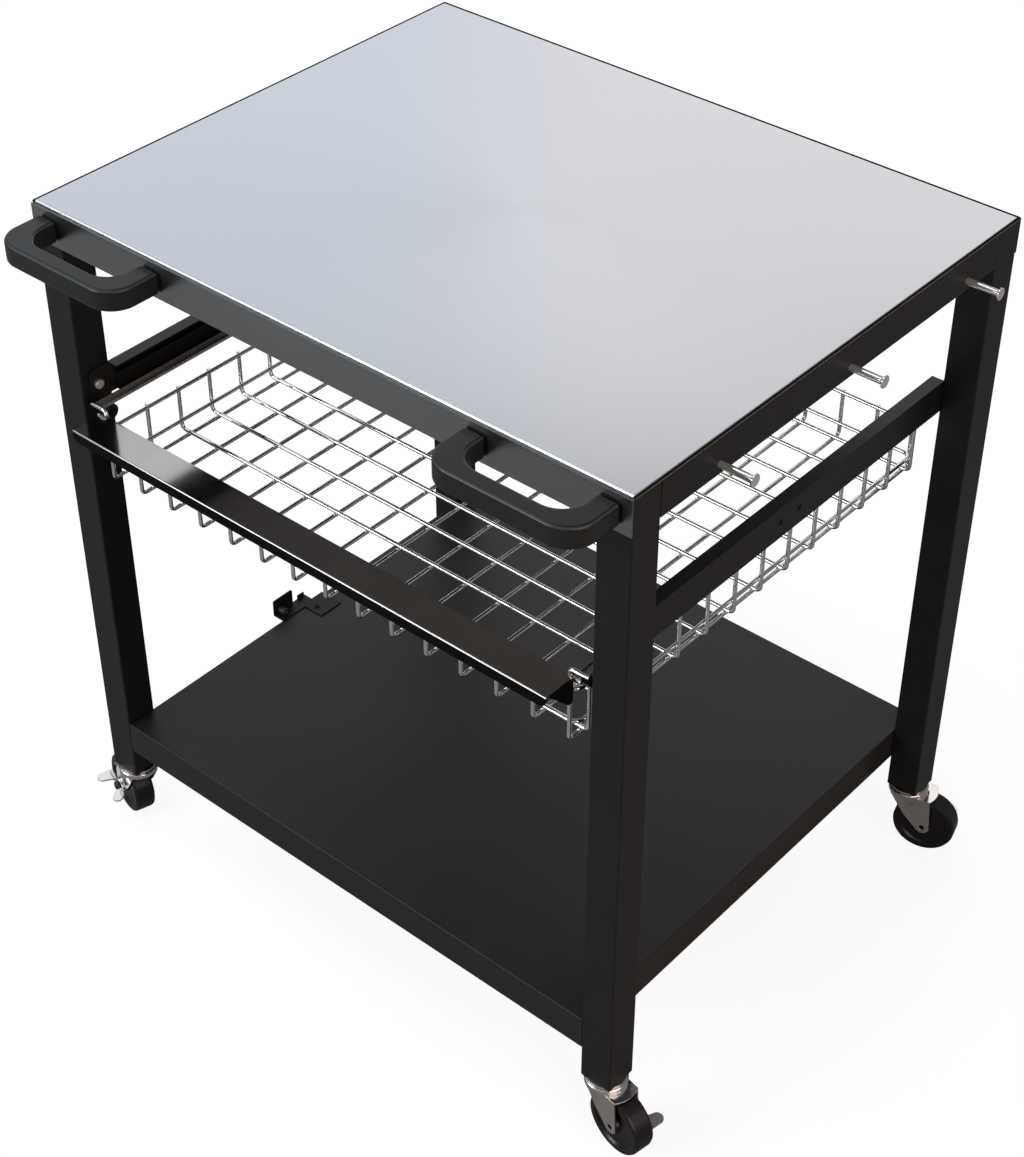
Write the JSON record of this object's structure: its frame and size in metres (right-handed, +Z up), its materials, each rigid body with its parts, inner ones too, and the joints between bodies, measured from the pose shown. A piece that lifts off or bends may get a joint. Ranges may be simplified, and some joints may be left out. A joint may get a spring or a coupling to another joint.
{
  "type": "outdoor pizza oven table",
  "caption": "Rolling outdoor prep table: brushed steel top on square black legs, wire drawer on slides, two handles, side hooks, low shelf and braked swivel casters.",
  "frame": {"origin": "on the floor under the middle of the worktop", "axes": "+X to the right when facing the drawer, +Y to the back, +Z up; the drawer opens towards -Y"},
  "size_m": [0.8497, 0.7053, 0.852],
  "materials": {
    "worktop_steel": "brushed",
    "frame_paint": "satin powder coat",
    "shelf_paint": "satin powder coat",
    "handle_plastic": "satin",
    "wire_chrome": "polished",
    "lip_steel": "polished",
    "slide_steel": "satin",
    "bolt_steel": "satin",
    "roller_nylon": "satin",
    "caster_chrome": "polished",
    "wheel_black": "matt",
    "bracket_paint": "satin powder coat"
  },
  "bodies": {
    "table": {"worktop_sheet": "worktop_steel", "top_stiffener": "frame_paint", "apron_front": "frame_paint", "apron_rear": "frame_paint", "top_rail_left": "frame_paint", "top_rail_right": "frame_paint", "side_rail_left": "frame_paint", "side_rail_right": "frame_paint", "side_rail_bolts": "bolt_steel", "lower_shelf": "shelf_paint", "shelf_bolts": "bolt_steel", "shelf_bracket": "bracket_paint", "bracket_screw": "bracket_paint", "bracket_thumbscrew": "bracket_paint", "handle_left": "handle_plastic", "handle_right": "handle_plastic", "handle_screws": "bolt_steel", "tool_hooks": "wire_chrome", "tool_hook_nuts": "bolt_steel", "slide_outer_left": "frame_paint", "slide_outer_right": "frame_paint", "slide_screws": "bolt_steel", "front_roller_pins": "bolt_steel", "leg_front_left": "frame_paint", "leg_front_right": "frame_paint", "leg_rear_left": "frame_paint", "leg_rear_right": "frame_paint", "caster_stem_front_right": "caster_chrome", "caster_stem_rear_right": "caster_chrome", "caster_stem_front_left": "caster_chrome", "caster_stem_rear_left": "caster_chrome"},
    "drawer": {"slide_inner_left": "slide_steel", "slide_inner_right": "slide_steel", "rear_roller_pins": "bolt_steel", "basket_cross_wires": "wire_chrome", "basket_long_wires": "wire_chrome", "basket_hanger_wires": "wire_chrome", "basket_rings": "wire_chrome", "drawer_lip": "lip_steel"},
    "front_roller_left_body": {"front_roller_left": "roller_nylon"},
    "rear_roller_left_body": {"rear_roller_left": "roller_nylon"},
    "front_roller_right_body": {"front_roller_right": "roller_nylon"},
    "rear_roller_right_body": {"rear_roller_right": "roller_nylon"},
    "swivel_front_right": {"caster_fork_front_right": "caster_chrome", "caster_axle_front_right": "bolt_steel"},
    "wheel_front_right": {"caster_wheel_front_right": "wheel_black"},
    "brake_front_right": {"caster_brake_front_right": "caster_chrome"},
    "swivel_rear_right": {"caster_fork_rear_right": "caster_chrome", "caster_axle_rear_right": "bolt_steel"},
    "wheel_rear_right": {"caster_wheel_rear_right": "wheel_black"},
    "brake_rear_right": {"caster_brake_rear_right": "caster_chrome"},
    "swivel_front_left": {"caster_fork_front_left": "caster_chrome", "caster_axle_front_left": "bolt_steel"},
    "wheel_front_left": {"caster_wheel_front_left": "wheel_black"},
    "brake_front_left": {"caster_brake_front_left": "caster_chrome"},
    "swivel_rear_left": {"caster_fork_rear_left": "caster_chrome", "caster_axle_rear_left": "bolt_steel"},
    "wheel_rear_left": {"caster_wheel_rear_left": "wheel_black"},
    "brake_rear_left": {"caster_brake_rear_left": "caster_chrome"}
  },
  "joints": [
    {"name": "drawer_slide", "type": "slide", "parent": "table", "child": "drawer", "axis": [0, -1, 0], "range_m": [0, 0.38]},
    {"name": "front_roller_left_spin", "type": "hinge", "parent": "table", "child": "front_roller_left_body", "pos_m": [-0.32625, -0.2872, 0.6131], "axis": [1, 0, 0], "continuous": true},
    {"name": "rear_roller_left_spin", "type": "hinge", "parent": "drawer", "child": "rear_roller_left_body", "pos_m": [-0.336, 0.24, 0.634], "axis": [1, 0, 0], "continuous": true},
    {"name": "front_roller_right_spin", "type": "hinge", "parent": "table", "child": "front_roller_right_body", "pos_m": [0.32625, -0.2872, 0.6131], "axis": [1, 0, 0], "continuous": true},
    {"name": "rear_roller_right_spin", "type": "hinge", "parent": "drawer", "child": "rear_roller_right_body", "pos_m": [0.336, 0.24, 0.634], "axis": [1, 0, 0], "continuous": true},
    {"name": "caster_swivel_front_right", "type": "hinge", "parent": "table", "child": "swivel_front_right", "pos_m": [0.3613, -0.2872, 0.08], "axis": [0, 0, 1], "continuous": true},
    {"name": "caster_roll_front_right", "type": "hinge", "parent": "swivel_front_right", "child": "wheel_front_right", "pos_m": [0.38661, -0.29166, 0.0375], "axis": [0.1736, 0.9848, 0], "continuous": true},
    {"name": "caster_brake_front_right", "type": "hinge", "parent": "swivel_front_right", "child": "brake_front_right", "pos_m": [0.38661, -0.29166, 0.0375], "axis": [0.1736, 0.9848, 0], "range_deg": [0, 14]},
    {"name": "caster_swivel_rear_right", "type": "hinge", "parent": "table", "child": "swivel_rear_right", "pos_m": [0.3613, 0.2872, 0.08], "axis": [0, 0, 1], "continuous": true},
    {"name": "caster_roll_rear_right", "type": "hinge", "parent": "swivel_rear_right", "child": "wheel_rear_right", "pos_m": [0.386, 0.29428, 0.0375], "axis": [-0.2756, 0.9613, 0], "continuous": true},
    {"name": "caster_brake_rear_right", "type": "hinge", "parent": "swivel_rear_right", "child": "brake_rear_right", "pos_m": [0.386, 0.29428, 0.0375], "axis": [-0.2756, 0.9613, 0], "range_deg": [0, 14]},
    {"name": "caster_swivel_front_left", "type": "hinge", "parent": "table", "child": "swivel_front_left", "pos_m": [-0.3613, -0.2872, 0.08], "axis": [0, 0, 1], "continuous": true},
    {"name": "caster_roll_front_left", "type": "hinge", "parent": "swivel_front_left", "child": "wheel_front_left", "pos_m": [-0.38588, -0.27969, 0.0375], "axis": [-0.2924, -0.9563, 0], "continuous": true},
    {"name": "caster_brake_front_left", "type": "hinge", "parent": "swivel_front_left", "child": "brake_front_left", "pos_m": [-0.38588, -0.27969, 0.0375], "axis": [-0.2924, -0.9563, 0], "range_deg": [0, 14]},
    {"name": "caster_swivel_rear_left", "type": "hinge", "parent": "table", "child": "swivel_rear_left", "pos_m": [-0.3613, 0.2872, 0.08], "axis": [0, 0, 1], "continuous": true},
    {"name": "caster_roll_rear_left", "type": "hinge", "parent": "swivel_rear_left", "child": "wheel_rear_left", "pos_m": [-0.386, 0.28012, 0.0375], "axis": [0.2756, -0.9613, 0], "continuous": true},
    {"name": "caster_brake_rear_left", "type": "hinge", "parent": "swivel_rear_left", "child": "brake_rear_left", "pos_m": [-0.386, 0.28012, 0.0375], "axis": [0.2756, -0.9613, 0], "range_deg": [0, 14]}
  ],
  "couplings": [
    {"joint": "front_roller_left_spin", "follows": "drawer_slide", "rad_per_m": 111.11},
    {"joint": "rear_roller_left_spin", "follows": "drawer_slide", "rad_per_m": 100},
    {"joint": "front_roller_right_spin", "follows": "drawer_slide", "rad_per_m": 111.11},
    {"joint": "rear_roller_right_spin", "follows": "drawer_slide", "rad_per_m": 100}
  ]
}
